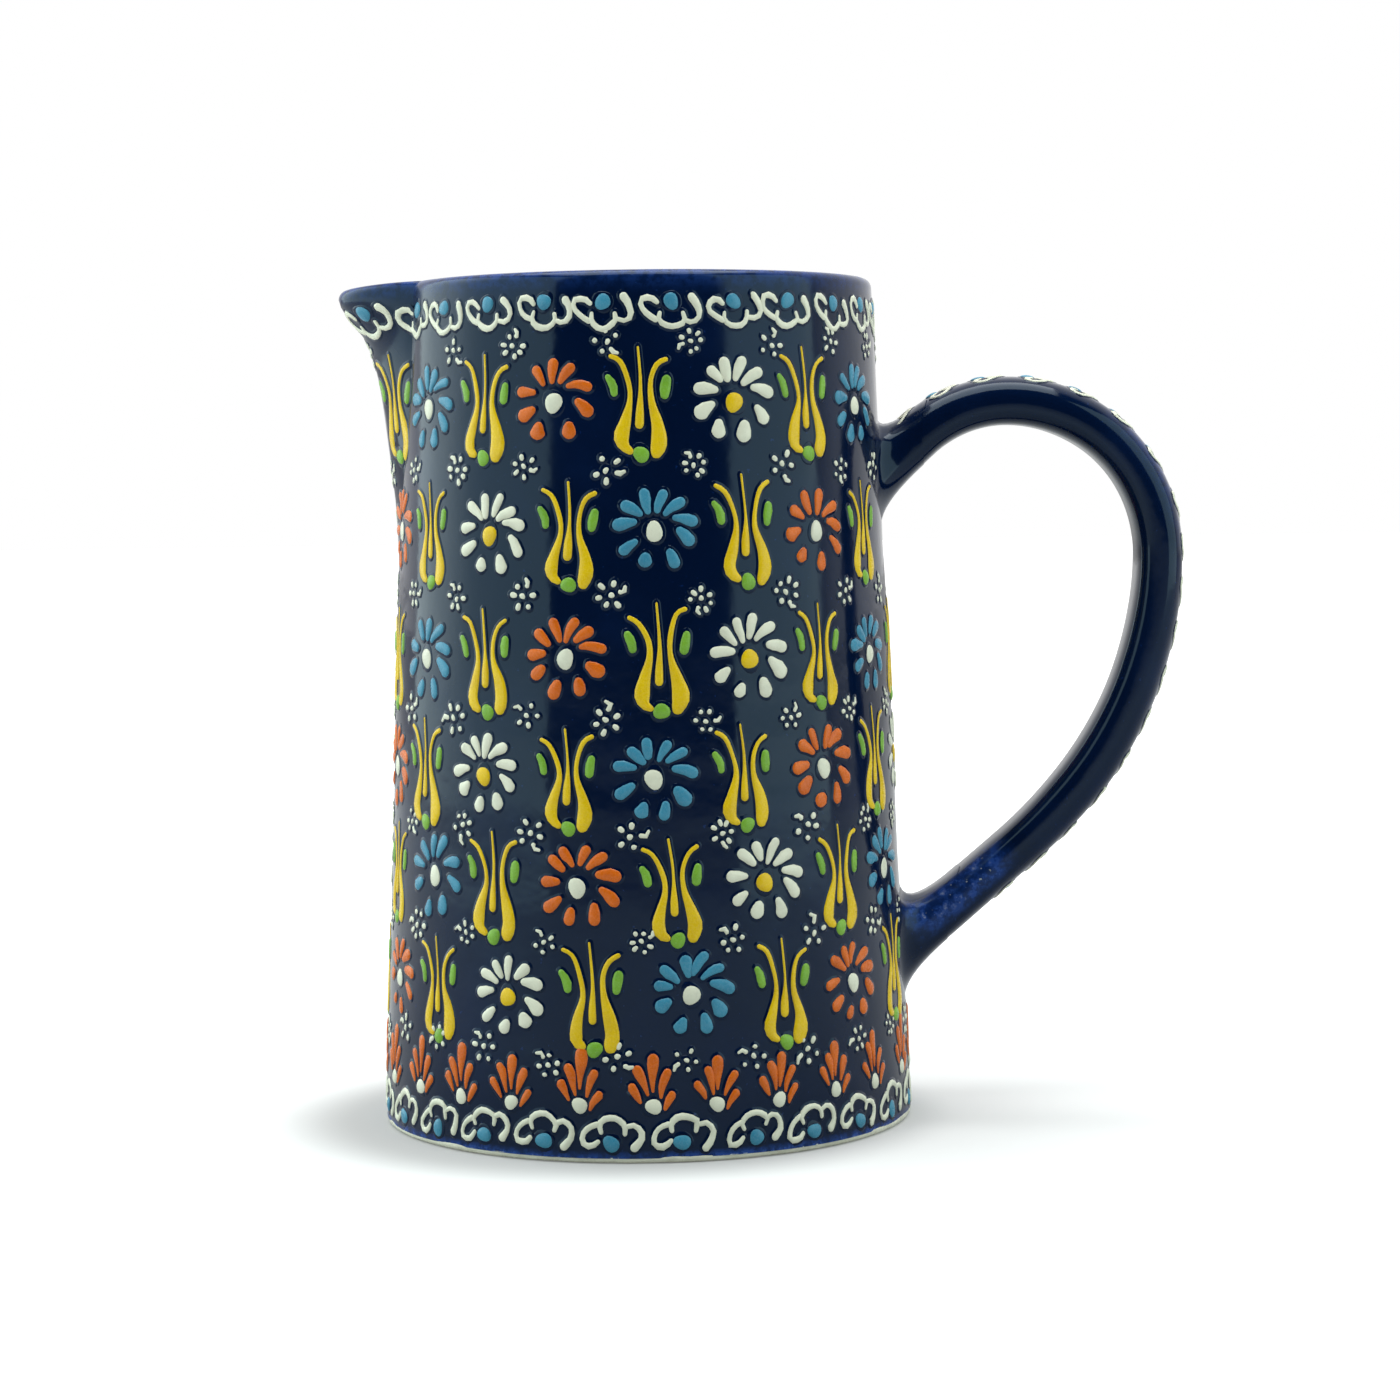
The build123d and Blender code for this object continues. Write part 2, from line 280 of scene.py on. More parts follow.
def buildFoot(material):
    across = 240
    outer = coneRadius(0) - 0.15
    # (radius, height, roughness) from the glaze line, under the ring and in to the middle
    profile = [(outer - 0.1, 1.7, 0.2), (outer + 0.05, 1.1, 0.5), (outer - 0.05, 0.6, 0.2),
               (outer - 0.5, 0.15, 0.1), (outer - 1.4, 0.0, 0.0), (outer - 8.2, 0.0, 0.0),
               (outer - 9.2, 0.5, 0.1), (outer - 10.0, 1.4, 0.1), (outer - 24, 1.7, 0.2),
               (6.0, 1.9, 0.1), (0.4, 1.9, 0.0)]
    verts = []
    for r, z, rough in profile:
        for j in range(across):
            a = 2 * math.pi * j / across
            chip = rough * noise.noise(Vector((9 * math.cos(a), 9 * math.sin(a), z)))
            away = r + 0.4 * chip
            verts.append(Vector((away * math.cos(a), away * math.sin(a), max(z + chip, 0.0))))
    faces = gridFaces(len(profile), across, True)
    faces.append(tuple((len(profile) - 1) * across + j for j in range(across)))
    faces = [tuple(reversed(face)) for face in faces]
    return makePiece("footRing", verts, faces, material, ["foot_ring"])


handle = {
    "start": (50.0, 142.6),
    "heading": 42.6,
    "bends": [(17.65, 0.0), (22.53, -42.6), (54.66, -90.0),  # length and turn of each stretch
              (58.64, -40.0), (20.39, -9.5), (46.0, 0.0)],
    "outerDepth": 6.0,    # from the widest line out to the arched back
    "innerDepth": 5.0,    # and in to the flatter face the fingers meet
    "halfWidth": 8.7,
    "outerCurve": 2.45,
    "innerCurve": 2.9,
    "rows": 190,
    "around": 56,
    "spread": 6.5,        # the slip smeared on the wall at each root
    "climb": 13.0,        # and up the strap
    "crookSpread": 0.8,   # the lower crook is filled this much more
    "crookClimb": 0.35,
    "luteAround": 72,
    "luteRings": 9,
    "luteSkin": 0.12,     # its edges lie this far over the strap and under the wall
    "rubbed": (172, 201),  # stretch that the fingers wear
    "shoulder": (58, 96), # stretch of the crest painted paler: a painted reflection of the light from above
}
handle["length"] = sum(length for length, turn in handle["bends"])


def handleFrame(s):
    x, z = handle["start"]
    heading = math.radians(handle["heading"])
    left = max(s, 0.0)
    for length, turn in handle["bends"]:
        run = min(left, length)
        if turn:
            bend = math.radians(turn) / length
            x += (math.sin(heading + bend * run) - math.sin(heading)) / bend
            z -= (math.cos(heading + bend * run) - math.cos(heading)) / bend
            heading += bend * run
        else:
            x += run * math.cos(heading)
            z += run * math.sin(heading)
        left -= run
        if left <= 0:
            break
    along = Vector((math.cos(heading), 0, math.sin(heading)))
    return Vector((x, 0, z)), along, Vector((-along.z, 0, along.x))


def handlePoint(s, turn, lift=0.0):
    centre, along, out = handleFrame(s)
    c, d = math.cos(turn), math.sin(turn)
    power = 2 / (handle["outerCurve"] if c > 0 else handle["innerCurve"])
    swell = 1 + 0.02 * math.sin(s / 17) + 0.05 * noise.noise(Vector((s / 22, c, d)))
    thick = (handle["outerDepth"] if c > 0 else handle["innerDepth"]) * swell + lift
    centre = centre - out * (handle["outerDepth"] - handle["innerDepth"]) / 2
    wide = handle["halfWidth"] * (1 + 0.03 * noise.noise(Vector((s / 30, 7, 3)))) + lift
    across = Vector((0, wide * math.copysign(abs(d) ** power, d), 0))
    return centre + out * (thick * math.copysign(abs(c) ** power, c)) + across


def handleWearAndSheen(s, turn):
    # rubbed low down by the fingers; paler along the crest and most over the shoulder, a painted reflection
    # of the light from above
    (rubStart, rubEnd), (shoulderStart, shoulderEnd) = handle["rubbed"], handle["shoulder"]
    rubbed = ramp((s - rubStart) / 8) * ramp((rubEnd - s) / 5)
    shoulder = ramp((s - shoulderStart) / 14) * ramp((shoulderEnd - s) / 14)
    flankSide = ramp((0.75 - abs(math.cos(turn) + 0.3)) / 0.4)
    crest = max(0.0, math.cos(turn)) ** 2
    # only the rubbed term is wear; the two crest terms paint a reflection into the glaze's colour
    return 1.07 * rubbed * flankSide + 0.5 * shoulder * crest + 0.08 * crest


def insideWall(point):
    return math.hypot(point.x, point.y) < coneRadius(point.z)


def buildHandle(material):
    n, m = handle["rows"], handle["around"]
    verts, wear = [], []
    for i in range(n + 1):
        s = handle["length"] * i / n
        for j in range(m):
            turn = 2 * math.pi * j / m
            verts.append(handlePoint(s, turn))
            wear.append(handleWearAndSheen(s, turn))
    faces = [tuple(reversed(face)) for face in gridFaces(n + 1, m, True)]
    piece = makePiece("handle", verts, faces, material, ["handle"])
    # the handle's wear layer also carries the painted reflection along its crest
    setWear(piece, wear)
    return piece


def buildLute(name, material, nodes, upper):
    m, steps, skin = handle["luteAround"], handle["luteRings"], handle["luteSkin"]
    verts, wear, rings = [], [], []
    sign = 1 if upper else -1
    begin = 1.0 if upper else handle["length"] - 1.0
    for j in range(m):
        turn = 2 * math.pi * j / m
        s = begin
        while insideWall(handlePoint(s, turn)) and abs(s - begin) < 60:
            s += 0.25 * sign
        meet = handlePoint(s, turn)
        hollow = 0.0 if upper else max(0.0, -math.cos(turn))  # the fillet is fuller in the lower crook
        climb = handle["climb"] * (1 + handle["crookClimb"] * hollow)
        high = handlePoint(s + sign * climb, turn, skin)
        out = handleFrame(s)[2]
        away = out * math.cos(turn) * 1.25 + Vector((0, 1, 0)) * math.sin(turn)
        away.normalize()
        smear = 1 + 0.25 * noise.noise(Vector((2 * math.cos(turn), 2 * math.sin(turn), s / 40)))
        far = meet + away * handle["spread"] * (1 + handle["crookSpread"] * hollow) * smear
        far = onWall(math.atan2(far.y, far.x), far.z, -skin)
        ring = []
        for t in (k / steps for k in range(steps + 1)):
            point = (high.lerp(meet, t) * (1 - t) + meet.lerp(far, t) * t)
            ring.append((point, handleWearAndSheen(s + sign * climb * (1 - t), turn)))
        rings.append(ring)
    for k in range(steps + 1):
        verts.extend(ring[k][0] for ring in rings)
        wear.extend(ring[k][1] for ring in rings)
    faces = gridFaces(steps + 1, m, True)
    if not upper:
        faces = [tuple(reversed(face)) for face in faces]
    piece = makePiece(name, verts, faces, material, nodes)
    # this wear layer also carries the painted reflection along the crest
    setWear(piece, wear)
    return piece


relief = {
    "rise": 0.46,
    "haloWidth": 0.7,     # the glaze draws up round every stroke, this far out
    "haloRise": 0.17,
    "wander": 0.16,       # how unsteady the hand is, in mm
}
hand = random.Random(41)
pens = {}  # what each pen has drawn so far, one mesh for each


def penFor(name):
    return pens.setdefault(name, {"verts": [], "faces": []})


class Spot:
    # a place on the clay where a motif is drawn: x to the right, y up
    def __init__(self, angle, z, roll=0.0, size=1.0):
        self.angle, self.z, self.size = angle, z, size
        self.cos, self.sin = math.cos(roll) * size, math.sin(roll) * size

    def at(self, x, y, lift):
        u, v = x * self.cos - y * self.sin, x * self.sin + y * self.cos
        z = self.z + v
        angle = self.angle + u / coneRadius(z)
        return onWall(angle, z) + wallNormal(angle, z) * lift


class StrapSpot(Spot):
    # the same on the outer face of the handle, where angle is the distance along it
    def at(self, x, y, lift):
        u, v = x * self.cos - y * self.sin, x * self.sin + y * self.cos
        reach = min(abs(u) / handle["halfWidth"], 0.97)
        turn = math.asin(reach ** (handle["outerCurve"] / 2)) * (1 if u > 0 else -1)
        return handlePoint(self.angle + v, turn, lift)


def smoothLine(stations, t):
    # Catmull-Rom through the stations, t from 0 to 1
    n = len(stations) - 1
    f = min(max(t, 0.0), 0.99999) * n
    i = int(f)
    f -= i
    p = [stations[min(max(k, 0), n)] for k in (i - 1, i, i + 1, i + 2)]
    return tuple(0.5 * (2 * b + (c - a) * f + (2 * a - 5 * b + 4 * c - d) * f * f
                        + (3 * b - a - 3 * c + d) * f ** 3) for a, b, c, d in zip(*p))


def layStroke(pen, spot, stations, rise, grow=0.0, across=7):
    fine = [smoothLine(stations, i / 40) for i in range(41)]
    lengths = [0.0]
    for a, b in zip(fine, fine[1:]):
        lengths.append(lengths[-1] + math.hypot(b[0] - a[0], b[1] - a[1]))
    total = lengths[-1]
    startCap, endCap = fine[0][2] + grow, fine[-1][2] + grow

    def sample(d):
        if d <= 0 or d >= total:
            end, inner = (fine[0], fine[2]) if d <= 0 else (fine[-1], fine[-3])
            over = -d if d <= 0 else d - total
            dx, dy = end[0] - inner[0], end[1] - inner[1]
            k = over / max(math.hypot(dx, dy), 1e-6)
            return end[0] + dx * k, end[1] + dy * k, end[2]
        i = next(k for k in range(1, 41) if lengths[k] >= d)
        t = (d - lengths[i - 1]) / max(lengths[i] - lengths[i - 1], 1e-6)
        return tuple(a + (b - a) * t for a, b in zip(fine[i - 1], fine[i]))

    marks = [-grow + startCap * k for k in (0.02, 0.14, 0.36, 0.7)]
    middle = max(int((total - startCap - endCap) / 1.1), 2)
    low, high = startCap - grow, total - endCap + grow
    if high < low:
        low = high = (low + high) / 2
    marks += [low + (high - low) * k / middle for k in range(middle + 1)]
    marks += [total + grow - endCap * k for k in (0.7, 0.36, 0.14, 0.02)]
    marks = sorted(marks)
    base = len(pen["verts"])
    for d in marks:
        x, y, half = sample(d)
        ax, ay, _ = sample(d - 0.15)
        bx, by, _ = sample(d + 0.15)
        length = max(math.hypot(bx - ax, by - ay), 1e-6)
        nx, ny = -(by - ay) / length, (bx - ax) / length
        half += grow
        capped = 1.0
        for gap, cap in ((d + grow, startCap), (total + grow - d, endCap)):
            if gap < cap:
                capped = min(capped, math.sqrt(max(1 - (1 - gap / cap) ** 2, 0.0)))
        wide = half * capped
        crest = rise * min(1.0, 0.45 + half / 1.6) * capped ** 0.8
        for k in range(across):
            t = math.sin(math.pi * (k / (across - 1) - 0.5))
            lift = crest * (1 - t * t) ** 0.55 - (0.1 if abs(t) > 0.99 else 0.0)
            pen["verts"].append(spot.at(x + nx * wide * t, y + ny * wide * t, lift))
    count = len(marks)
    for i in range(count - 1):
        for k in range(across - 1):
            a = base + i * across + k
            pen["faces"].append((a, a + across, a + across + 1, a + 1))


def layDot(pen, spot, x, y, radius, rise, squash=1.0, turn=0.0, grow=0.0):
    base = len(pen["verts"])
    around = 16
    pen["verts"].append(spot.at(x, y, rise))
    rings = (0.35, 0.62, 0.84, 0.96, 1.0)
    lobes = hand.random() * 6
    for ring in rings:
        for j in range(around):
            a = 2 * math.pi * j / around
            lumpy = 1 + 0.07 * math.sin(2 * a + lobes) + 0.05 * math.sin(3 * a + 2 * lobes)
            r = (radius * ring + grow * ring) * lumpy
            px, py = r * math.cos(a), r * squash * math.sin(a)
            qx, qy = px * math.cos(turn) - py * math.sin(turn), px * math.sin(turn) + py * math.cos(turn)
            lift = rise * (1 - ring * ring) ** 0.5 - (0.1 if ring == 1.0 else 0.0)
            pen["verts"].append(spot.at(x + qx, y + qy, lift))
    for j in range(around):
        k = (j + 1) % around
        pen["faces"].append((base, base + 1 + j, base + 1 + k))
        for i in range(len(rings) - 1):
            a, b = base + 1 + i * around, base + 1 + (i + 1) * around
            pen["faces"].append((a + j, b + j, b + k, a + k))


def wobbled(stations, amount=1.0):
    w = relief["wander"] * amount
    return [(x + hand.uniform(-w, w), y + hand.uniform(-w, w), max(h * (1 + hand.uniform(-0.12, 0.12)), 0.14))
            for x, y, h in stations]


def brush(name, haloName, spot, stations, rise=None, wander=1.0):
    rise = relief["rise"] if rise is None else rise
    line = wobbled(stations, wander)
    layStroke(penFor(name), spot, line, rise)
    layStroke(penFor(haloName), spot, line, relief["haloRise"], relief["haloWidth"], across=5)


def blob(name, haloName, spot, x, y, radius, rise=None, squash=1.0, turn=0.0):
    rise = relief["rise"] * 1.15 if rise is None else rise
    layDot(penFor(name), spot, x, y, radius, rise, squash, turn)
    layDot(penFor(haloName), spot, x, y, radius, relief["haloRise"], squash, turn, relief["haloWidth"])


# heights in mm and angles in degrees; rows are turned from the side that faces the maker
decoration = {
    "motifsPerRow": 9,
    "rowHeights": (162.0, 134.6, 107.2, 82.4, 58.9, 35.5),
    "rowTurns": (-59.0, 3.0, -57.0, 3.0, -54.0, 9.0),
    "starHeights": (174.6, 148.2, 121.0, 95.0, 70.8, 47.3),
    "flowers": ("blue", "orange", "white"),
    "flowerSeamGap": (3, 12),    # nothing is drawn between these degrees inside the spout's seam
    "tulipSeamGap": (3, 4.5),
    "starSeamGap": 2.5,          # stars keep this far off it on either side
    "rootMargin": 13.0,          # nothing is drawn this near to the handle's roots
    "starRootMargin": 10.0,
    "rootZones": ((20, 60), (134, 168)),
    "rowSway": (1, 0.6),         # how far the hand strays, in degrees and mm
    "starSway": (1.5, 0.8),
    "fanSway": (1, 0.3),
    "lowStarSway": (1, 2.2),
    "borderSway": (0.8, 0.2),
    "fans": 25,
    "fanHeight": 12.3,
    "lowStarHeight": 22.6,
    "rimMotifs": 24,
    "rimHeight": 182.0,
    "footMotifs": 25,
    "footHeight": 6.2,
    "rimSize": 0.95,
    "handleSize": 0.8,
    "handleStart": 17.0,         # along the strap
    "handleEnd": 34.0,           # short of its lower end
    "handleStep": 9.6,
}
front = math.radians(-90)


def spotAt(turn, z, roll=4.0, size=0.04):
    angle = front + math.radians(turn)
    return Spot(angle, z, math.radians(hand.uniform(-roll, roll)), 1 + hand.uniform(-size, size))


def spoutGap(turn, z):
    # how far inside the spout's flank this place is: 0 on plain wall
    if z < spout["start"] + 6:
        return 0
    half = curveAt(spout["seam"], z)
    off = abs(math.degrees(wrapAngle(front + math.radians(turn) - math.pi)))
    return half - off


def freeOfHandle(turn, z, margin=decoration["rootMargin"]):
    off = abs(math.degrees(wrapAngle(front + math.radians(turn))))
    return off > margin or not any(low < z < high for low, high in decoration["rootZones"])


def flower(colour, turn, z):
    spot = spotAt(turn, z, 7)
    count = hand.choice((9, 10, 10, 10))
    lean = hand.uniform(-8, 8)
    for i in range(count):
        # petals crowd together at the top and open out below
        t = (i + 0.5) / count
        bearing = 360 * t - 180
        bearing = bearing - 12 * math.sin(math.radians(bearing)) + lean + hand.uniform(-5, 5)
        b = math.radians(bearing)
        high = 0.5 + 0.5 * math.cos(b)
        inner = 4.8 - 0.8 * high + hand.uniform(-0.45, 0.35)
        outer = 8.6 + 0.7 * high + hand.uniform(-0.5, 0.4)
        bow = 0.1 + 0.3 * math.sin(b) + hand.uniform(-0.1, 0.1)
        plump = hand.uniform(0.85, 1.14)
        line = []
        for k, half in ((0, 0.58), (0.3, 1.02), (0.65, 1.36), (1.0, 1.22)):
            r = inner + (outer - inner) * k
            a = b - bow * (1 - k) ** 1.5 + 0.5 * bow * max(k - 0.6, 0)
            line.append((r * math.sin(a), r * math.cos(a), half * plump * (1.2 - 0.26 * high)))
        brush(colour + "Petals", "halo" + colour.title(), spot, line)
    eye = "yellowEyes" if colour == "white" else "whiteEyes"
    blob(eye, "haloEyes", spot, hand.uniform(-0.3, 0.3), hand.uniform(-0.3, 0.3), 1.95, squash=1.15)


def tulip(turn, z):
    spot = spotAt(turn, z - 10.8, 3)
    lift = hand.uniform(-0.8, 0.8)
    left = [(-6.6, 20.3 + lift, 0.5), (-4.2, 18.8 + lift, 0.55), (-2.4, 14.6, 0.58), (-2.1, 11.0, 0.68),
            (-3.2, 6.8, 1.25), (-3.9, 3.6, 1.6), (-3.4, 1.5, 1.3), (-1.6, 0.4, 0.6)]
    right = [(5.9, 20.3 - lift, 0.55), (3.6, 18.9 - lift, 0.55), (2.2, 15.2, 0.58), (2.2, 11.0, 0.72),
             (3.5, 6.4, 1.4), (4.0, 3.0, 1.85), (3.4, 0.6, 1.6), (2.7, -0.6, 0.9)]
    middle = [(-0.6, 22.4, 0.3), (-0.1, 16.5, 0.34), (0.0, 12.6, 0.45), (-0.2, 8.5, 0.95), (-0.3, 5.2, 1.0)]
    leftLeaf = [(-7.2, 16.6, 0.6), (-6.2, 15.3, 0.95), (-5.6, 13.6, 1.0), (-5.5, 11.8, 0.8)]
    rightLeaf = [(5.6, 16.4, 0.8), (5.3, 14.6, 1.15), (5.1, 12.8, 1.1), (4.9, 11.4, 0.8)]
    brush("tulipStrokes", "haloTulips", spot, left)
    brush("tulipStrokes", "haloTulips", spot, right)
    brush("tulipStrokes", "haloTulips", spot, middle, wander=0.5)
    brush("tulipLeaves", "haloTulips", spot, leftLeaf)
    brush("tulipLeaves", "haloTulips", spot, rightLeaf)
    blob("tulipDots", "haloTulips", spot, 0.1, 0.0, 1.75, relief["rise"] * 1.3)


def star(turn, z):
    spot = spotAt(turn, z, 25, 0.12)
    x, y, turned = hand.uniform(-0.3, 0.3), hand.uniform(-0.3, 0.3), hand.uniform(0, 3)
    blob("stars", "haloStars", spot, x, y, 0.6, 0.42, 1.2, turned)
    count = hand.choice((5, 6, 6, 7))
    trailing = hand.randrange(count)  # the brush drags on one of the dots
    for i in range(count):
        a = 2 * math.pi * i / count + hand.uniform(-0.2, 0.2)
        r = 2.35 + hand.uniform(-0.25, 0.25)
        reach = 0.66 + hand.uniform(-0.14, 0.22)
        lean = hand.uniform(-0.5, 0.5)
        tip = a + 0.15 * lean
        line = [((r - reach) * math.cos(a), (r - reach) * math.sin(a), 0.42),
                (r * math.cos(a), r * math.sin(a), 0.62),
                ((r + reach) * math.cos(tip), (r + reach) * math.sin(tip), 0.56)]
        if i == trailing:
            line.append(((r + 1.5) * math.cos(a + 0.3), (r + 1.5) * math.sin(a + 0.3), 0.34))
        brush("stars", "haloStars", spot, line, 0.42, 0.5)


def fan(turn, z):
    spot = spotAt(turn, z, 4)
    petals = ([(0.0, 3.2, 0.3), (0.1, 6.0, 0.75), (0.2, 9.4, 1.4), (0.3, 11.8, 1.25)],
              [(-1.0, 2.2, 0.3), (-1.5, 4.6, 0.7), (-2.2, 7.2, 1.2), (-3.2, 8.9, 0.95)],
              [(-2.4, 0.9, 0.3), (-3.2, 2.6, 0.8), (-4.3, 4.4, 1.1), (-5.0, 5.2, 0.8)],
              [(1.5, 1.6, 0.3), (2.1, 3.8, 0.75), (3.1, 6.2, 1.15), (4.0, 7.3, 0.85)],
              [(2.2, -1.2, 0.3), (2.9, 0.4, 0.75), (4.1, 2.2, 1.05), (4.9, 2.9, 0.75)])
    for petal in petals:
        sway = hand.uniform(-0.07, 0.07)
        tall = hand.uniform(0.9, 1.06)
        brush("fans", "haloFans", spot, [(x + sway * y, y * tall, h) for x, y, h in petal])
    blob("fanDots", "haloFans", spot, 0, 0, 1.75)


def crown(spot, up, name, haloName, dotName, size=1.0):
    # a cloud of three lobes drawn in three touching strokes, with a dot in its mouth
    side = -1 if up else 1
    left = [(-2.5, -0.9, 0.5), (-4.0, -2.6, 0.8), (-5.9, -2.4, 0.7), (-6.2, -0.6, 0.62), (-4.9, 1.2, 0.7),
            (-2.7, 2.4, 0.7)]
    middle = [(-2.4, 0.3, 0.45), (-2.9, 2.0, 0.65), (-1.6, 3.5, 0.8), (0.4, 3.9, 0.75), (2.3, 2.9, 0.7),
              (2.8, 1.9, 0.62), (2.5, 0.3, 0.5)]
    right = [(2.6, 2.2, 0.6), (4.6, 2.7, 0.65), (6.1, 1.5, 0.7), (6.0, -0.5, 0.8), (4.9, -2.2, 1.0),
             (4.2, -2.9, 0.85)]
    drift = hand.uniform(-0.5, 0.5)
    for lobe in (left, middle, right):
        line = [(x * size, (y + drift * x / 6) * side * size, h * size) for x, y, h in lobe]
        brush(name, haloName, spot, line, wander=1.6)
    x, turned = hand.uniform(-0.6, 0.6), hand.uniform(0, 3)
    blob(dotName, haloName, spot, x, -1.7 * side * size, 1.9 * size, squash=0.9, turn=turned)


def stray(sway):
    # how far the hand wanders from the even spacing, as a turn in degrees and a rise in mm
    return hand.uniform(-sway[0], sway[0]), hand.uniform(-sway[1], sway[1])


def clearOfSeam(turn, z, gap):
    low, high = gap
    return not low <= spoutGap(turn, z) <= high


def decorateWall():
    perRow = decoration["motifsPerRow"]
    step = 180 / perRow
    for z, rowTurn in zip(decoration["rowHeights"], decoration["rowTurns"]):
        for i in range(perRow):
            turn = rowTurn + 2 * step * i
            sway, rise = stray(decoration["rowSway"])
            if freeOfHandle(turn, z) and clearOfSeam(turn, z, decoration["flowerSeamGap"]):
                flower(decoration["flowers"][i % 3], turn + sway, z + rise)
            turn += step
            sway, rise = stray(decoration["rowSway"])
            if freeOfHandle(turn, z) and clearOfSeam(turn, z, decoration["tulipSeamGap"]):
                tulip(turn + sway, z + rise)
    for z, rowTurn in zip(decoration["starHeights"], decoration["rowTurns"]):
        for i in range(2 * perRow):
            turn = rowTurn + step * (i + 0.5)
            sway, rise = stray(decoration["starSway"])
            gap = spoutGap(turn, z)
            seamFree = gap == 0 or abs(gap) > decoration["starSeamGap"]
            if freeOfHandle(turn, z, decoration["starRootMargin"]) and seamFree:
                star(turn + sway, z + rise)
    count = decoration["fans"]
    for i in range(count):
        sway, rise = stray(decoration["fanSway"])
        fan(360 * i / count + sway, decoration["fanHeight"] + rise)
        sway, rise = stray(decoration["lowStarSway"])
        star(360 * (i + 0.5) / count + sway, decoration["lowStarHeight"] + rise)
    count = decoration["footMotifs"]
    for i in range(count):
        sway, rise = stray(decoration["borderSway"])
        spot = spotAt(360 * (i + 0.5) / count + sway, decoration["footHeight"] + rise, 5, 0.05)
        crown(spot, False, "footCrowns", "haloFoot", "footDots")
    count = decoration["rimMotifs"]
    for i in range(count):
        sway, rise = stray(decoration["borderSway"])
        spot = spotAt(360 * (i + 0.5) / count + sway, decoration["rimHeight"] + rise, 5, 0.05)
        crown(spot, True, "rimCrowns", "haloRim", "rimDots", decoration["rimSize"])


def decorateHandle():
    s = decoration["handleStart"]
    while s < handle["length"] - decoration["handleEnd"]:
        spot = StrapSpot(s, 0, math.radians(hand.uniform(-5, 5)), 1 + hand.uniform(-0.05, 0.05))
        crown(spot, False, "handleCrowns", "haloHandle", "handleDots", decoration["handleSize"])
        s += decoration["handleStep"] + hand.uniform(-0.4, 0.4)


def newGroup(name, inputs, outputs):
    group = bpy.data.node_groups.new(name, "ShaderNodeTree")
    for label, kind, value in inputs:
        socket = group.interface.new_socket(label, in_out="INPUT", socket_type=kind)
        if value is not None:
            socket.default_value = value
    for label, kind in outputs:
        group.interface.new_socket(label, in_out="OUTPUT", socket_type=kind)
    return group, group.nodes.new("NodeGroupInput"), group.nodes.new("NodeGroupOutput")


def addNode(tree, kind, **settings):
    node = tree.nodes.new(kind)
    for key, value in settings.items():
        setattr(node, key, value)
    return node


def noiseNode(tree, vector, scale, detail=3.0, roughness=0.55):
    node = addNode(tree, "ShaderNodeTexNoise")
    node.inputs["Scale"].default_value = scale
    node.inputs["Detail"].default_value = detail
    node.inputs["Roughness"].default_value = roughness
    tree.links.new(vector, node.inputs["Vector"])
    return node.outputs["Fac"]


def rangeNode(tree, value, low, high, toLow=0.0, toHigh=1.0):
    node = addNode(tree, "ShaderNodeMapRange", interpolation_type="SMOOTHSTEP")
    for key, number in (("From Min", low), ("From Max", high), ("To Min", toLow), ("To Max", toHigh)):
        node.inputs[key].default_value = number
    tree.links.new(value, node.inputs["Value"])
    return node.outputs["Result"]


def mathNode(tree, operation, a, b):
    node = addNode(tree, "ShaderNodeMath", operation=operation)
    node.use_clamp = operation in ("ADD", "MULTIPLY")
    for socket, value in zip(node.inputs, (a, b)):
        if isinstance(value, (int, float)):
            socket.default_value = value
        else:
            tree.links.new(value, socket)
    return node.outputs[0]


def mixNode(tree, factor, a, b):
    node = addNode(tree, "ShaderNodeMix", data_type="RGBA")
    for socket, value in ((node.inputs[0], factor), (node.inputs[6], a), (node.inputs[7], b)):
        if isinstance(value, (int, float, tuple)):
            socket.default_value = value
        else:
            tree.links.new(value, socket)
    return node.outputs[2]


def linkTone(group, sink, colour, roughness, height):
    for name, value in (("Color", colour), ("Roughness", roughness), ("Height", height)):
        group.links.new(value, sink.inputs[name])


toneOutputs = [("Color", "NodeSocketColor"), ("Roughness", "NodeSocketFloat"), ("Height", "NodeSocketFloat")]


def buildGlazeTone():
    # deep pooled glaze, thinner and bluer where it broke over an edge, and paler on the handle's crest where
    # the wear layer carries a painted reflection
    inputs = [("Position", "NodeSocketVector", None), ("Wear", "NodeSocketFloat", 0.0),
              ("Deep", "NodeSocketColor", (0, 0, 0, 1)), ("Thin", "NodeSocketColor", (0, 0, 0, 1)),
              ("Bare", "NodeSocketColor", (1, 1, 1, 1))]
    group, source, sink = newGroup("glazeTone", inputs, toneOutputs)
    position, wear = source.outputs["Position"], source.outputs["Wear"]
    cloud = noiseNode(group, position, 38, 4)
    streak = noiseNode(group, position, 420, 5, 0.7)
    pits = noiseNode(group, position, 900, 2)
    broken = rangeNode(group, streak, 0.38, 0.62)
    patchy = mathNode(group, "MULTIPLY", broken, rangeNode(group, cloud, 0.35, 0.65, 0.55, 1.0))
    worn = mathNode(group, "MULTIPLY", wear, mathNode(group, "ADD", patchy, 0.25))
    pale = rangeNode(group, cloud, 0.45, 0.75, 0.0, 0.04)
    faint = mathNode(group, "ADD", pale, rangeNode(group, pits, 0.70, 0.76, 0.0, 0.22))
    thinness = mathNode(group, "ADD", worn, faint)
    thin = mixNode(group, thinness, source.outputs["Deep"], source.outputs["Thin"])
    specks = rangeNode(group, pits, 0.66, 0.70)
    flecks = mathNode(group, "ADD", specks, rangeNode(group, streak, 0.56, 0.70, 0.0, 0.6))
    chips = mathNode(group, "MULTIPLY", flecks, rangeNode(group, wear, 1.0, 1.15))
    gloss = rangeNode(group, cloud, 0.3, 0.7, 0.08, 0.14)
    roughness = mathNode(group, "ADD", gloss, mathNode(group, "MULTIPLY", worn, 0.25))
    ripple = mathNode(group, "MULTIPLY", noiseNode(group, position, 160, 2), 0.8)
    height = mathNode(group, "ADD", ripple, mathNode(group, "MULTIPLY", pits, 0.06))
    linkTone(group, sink, mixNode(group, chips, thin, source.outputs["Bare"]), roughness, height)
    return group


